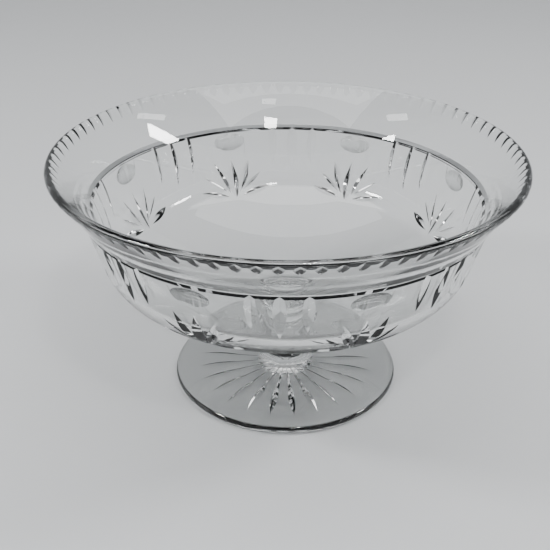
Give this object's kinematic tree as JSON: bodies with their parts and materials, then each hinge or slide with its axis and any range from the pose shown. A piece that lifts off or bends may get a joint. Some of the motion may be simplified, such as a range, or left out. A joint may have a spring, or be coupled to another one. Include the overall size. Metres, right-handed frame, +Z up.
{
  "type": "punch bowl",
  "caption": "Footed cut-crystal punch bowl: flared rim with a notched edge, leaf and fan cuts on the wall, a short knopped stem and a round foot with a star cut beneath.",
  "frame": {"origin": "centre of the flat ring under the foot, on the surface that the bowl stands on", "axes": "+Z up along the axis of the bowl; -Y towards the viewer, through the middle flute of one group of cuts"},
  "size_m": [0.25, 0.25, 0.137],
  "materials": {
    "crystal": "polished clear lead crystal"
  },
  "bodies": {
    "root": {"bowl": "crystal", "stem": "crystal", "foot": "crystal"}
  },
  "joints": []
}
